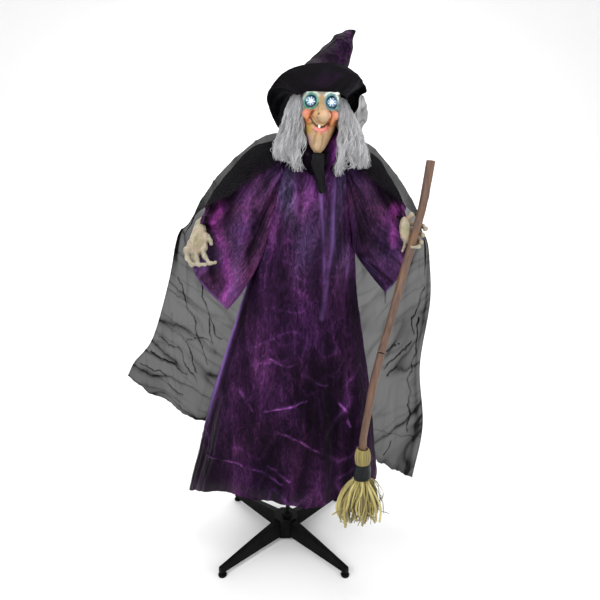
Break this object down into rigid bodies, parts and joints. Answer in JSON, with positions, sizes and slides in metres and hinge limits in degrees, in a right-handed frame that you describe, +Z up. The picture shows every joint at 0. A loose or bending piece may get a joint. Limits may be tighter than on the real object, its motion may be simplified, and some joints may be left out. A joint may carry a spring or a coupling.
{
  "type": "animated witch figure",
  "caption": "Life-size animated witch decoration: masked head with pointed hat, layered robe and cape, posable arms, a broom in hand, on a spread-leg stand.",
  "frame": {"origin": "on the floor under the hub, where the upright's axis meets the floor", "axes": "+Z up, +X to the right as the figure's viewer sees it, -Y towards the viewer; the upright leans 4.4 degrees towards +X"},
  "size_m": [1.1426, 0.5815, 1.8263],
  "materials": {
    "base_hub": "fine-grained black moulding",
    "base_leg_front_left": "fine-grained black moulding",
    "base_leg_front_right": "fine-grained black moulding",
    "base_leg_rear_left": "fine-grained black moulding",
    "base_leg_rear_right": "fine-grained black moulding",
    "foot_pad_front_left": "fine-grained black moulding",
    "foot_pad_front_right": "fine-grained black moulding",
    "foot_pad_rear_left": "fine-grained black moulding",
    "foot_pad_rear_right": "fine-grained black moulding",
    "pole_lower": "black enamel",
    "pole_upper": "black enamel",
    "pole_coupler": "fine-grained black moulding",
    "hip_bracket": "grey moulding",
    "hip_pin": "bright turned steel",
    "sway_sector_gear": "natural nylon",
    "torso_frame": "grey moulding",
    "sway_motor": "plated motor can",
    "torso_housing_front": "fine-grained black moulding",
    "torso_housing_back": "fine-grained black moulding",
    "speaker": "fine-grained black moulding",
    "control_board": "green solder mask",
    "head_motor": "plated motor can",
    "battery_tray": "fine-grained black moulding",
    "battery_1": "plain dark wrap",
    "battery_2": "plain dark wrap",
    "battery_3": "plain dark wrap",
    "battery_door": "fine-grained black moulding",
    "neck_bush": "natural nylon",
    "shoulder_yoke": "fine-grained black moulding",
    "robe": "crinkled purple-black sheer cloth",
    "collar": "purple satin",
    "ribbon_tie": "black ribbon",
    "cape": "crinkled grey-black gauze",
    "sway_pinion": "bright turned steel",
    "head_pinion": "bright turned steel",
    "try_me_button": "gloss moulding",
    "power_switch": "natural nylon",
    "neck_shaft": "natural nylon",
    "neck_gear": "natural nylon",
    "face_mask": "painted latex skin",
    "head_back": "moulded shell",
    "eye_light_left": "clear lens over a lamp",
    "eye_light_right": "clear lens over a lamp",
    "hat_brim": "short-pile black cloth",
    "hat_crown": "iridescent dark cloth",
    "hair_left": "silver-grey fibre",
    "hair_right": "silver-grey fibre",
    "hair_back": "silver-grey fibre",
    "arm_rod_left": "black enamel",
    "hand_left": "painted soft moulding",
    "sleeve_left": "crinkled purple sheer cloth",
    "arm_rod_right": "black enamel",
    "hand_right": "painted soft moulding",
    "sleeve_right": "crinkled purple sheer cloth",
    "broom_handle_upper": "stained knotty stick",
    "broom_handle_lower": "stained knotty stick",
    "broom_knob": "natural raffia",
    "broom_band": "glossy black tape",
    "broom_bristles": "natural raffia"
  },
  "bodies": {
    "stand": {"base_hub": "base_hub", "base_leg_front_left": "base_leg_front_left", "base_leg_front_right": "base_leg_front_right", "base_leg_rear_left": "base_leg_rear_left", "base_leg_rear_right": "base_leg_rear_right", "foot_pad_front_left": "foot_pad_front_left", "foot_pad_front_right": "foot_pad_front_right", "foot_pad_rear_left": "foot_pad_rear_left", "foot_pad_rear_right": "foot_pad_rear_right", "pole_lower": "pole_lower", "pole_upper": "pole_upper", "pole_coupler": "pole_coupler", "hip_bracket": "hip_bracket", "hip_pin": "hip_pin", "sway_sector_gear": "sway_sector_gear"},
    "torso": {"torso_frame": "torso_frame", "sway_motor": "sway_motor", "torso_housing_front": "torso_housing_front", "torso_housing_back": "torso_housing_back", "speaker": "speaker", "control_board": "control_board", "head_motor": "head_motor", "battery_tray": "battery_tray", "battery_1": "battery_1", "battery_2": "battery_2", "battery_3": "battery_3", "battery_door": "battery_door", "neck_bush": "neck_bush", "shoulder_yoke": "shoulder_yoke", "robe": "robe", "collar": "collar", "ribbon_tie": "ribbon_tie", "cape": "cape"},
    "sway_pinion": {"sway_pinion": "sway_pinion"},
    "head_pinion": {"head_pinion": "head_pinion"},
    "try_me_button": {"try_me_button": "try_me_button"},
    "power_switch": {"power_switch": "power_switch"},
    "head": {"neck_shaft": "neck_shaft", "neck_gear": "neck_gear", "face_mask": "face_mask", "head_back": "head_back", "eye_light_left": "eye_light_left", "eye_light_right": "eye_light_right", "hat_brim": "hat_brim", "hat_crown": "hat_crown", "hair_left": "hair_left", "hair_right": "hair_right", "hair_back": "hair_back"},
    "arm_left": {"arm_rod_left": "arm_rod_left", "hand_left": "hand_left", "sleeve_left": "sleeve_left"},
    "arm_right": {"arm_rod_right": "arm_rod_right", "hand_right": "hand_right", "sleeve_right": "sleeve_right"},
    "broom": {"broom_handle_upper": "broom_handle_upper", "broom_handle_lower": "broom_handle_lower", "broom_knob": "broom_knob", "broom_band": "broom_band", "broom_bristles": "broom_bristles"}
  },
  "joints": [
    {"name": "waist_sway", "type": "hinge", "parent": "stand", "child": "torso", "pos_m": [0.07442, 0, 0.96714], "axis": [0, 1, 0], "range_deg": [-6, 6], "deforming": ["robe", "cape"]},
    {"name": "sway_pinion_spin", "type": "hinge", "parent": "torso", "child": "sway_pinion", "pos_m": [0.07825, -0.0136, 1.01699], "axis": [0, 1, 0], "range_deg": [-25, 25]},
    {"name": "head_turn", "type": "hinge", "parent": "torso", "child": "head", "pos_m": [0.09973, -0.028, 1.29617], "axis": [0.0767, 0, 0.9971], "range_deg": [-18, 18], "deforming": ["hair_left", "hair_right", "hair_back"]},
    {"name": "head_pinion_spin", "type": "hinge", "parent": "torso", "child": "head_pinion", "pos_m": [0.12591, -0.028, 1.29415], "axis": [0.0767, 0, 0.9971], "range_deg": [-46, 46]},
    {"name": "shoulder_left_raise", "type": "hinge", "parent": "torso", "child": "arm_left", "pos_m": [-0.00181, 0.0142, 1.43637], "axis": [0.9971, 0, -0.0767], "range_deg": [-30, 5], "deforming": ["sleeve_left"]},
    {"name": "shoulder_right_raise", "type": "hinge", "parent": "torso", "child": "arm_right", "pos_m": [0.22153, 0.0142, 1.41919], "axis": [0.9971, 0, -0.0767], "range_deg": [-20, 3], "deforming": ["sleeve_right"]},
    {"name": "broom_slide", "type": "slide", "parent": "arm_right", "child": "broom", "axis": [0.2647, 0.1471, 0.953], "range_m": [-0.015, 0.015]},
    {"name": "try_me_press", "type": "slide", "parent": "torso", "child": "try_me_button", "axis": [0, 1, 0], "range_m": [0, 0.002], "stiffness_N_per_m": 600},
    {"name": "power_switch_slide", "type": "slide", "parent": "torso", "child": "power_switch", "axis": [0.9971, 0, -0.0767], "range_m": [0, 0.005]}
  ],
  "couplings": [
    {"joint": "sway_pinion_spin", "follows": "waist_sway", "ratio": 4},
    {"joint": "head_pinion_spin", "follows": "head_turn", "ratio": -2.5}
  ]
}
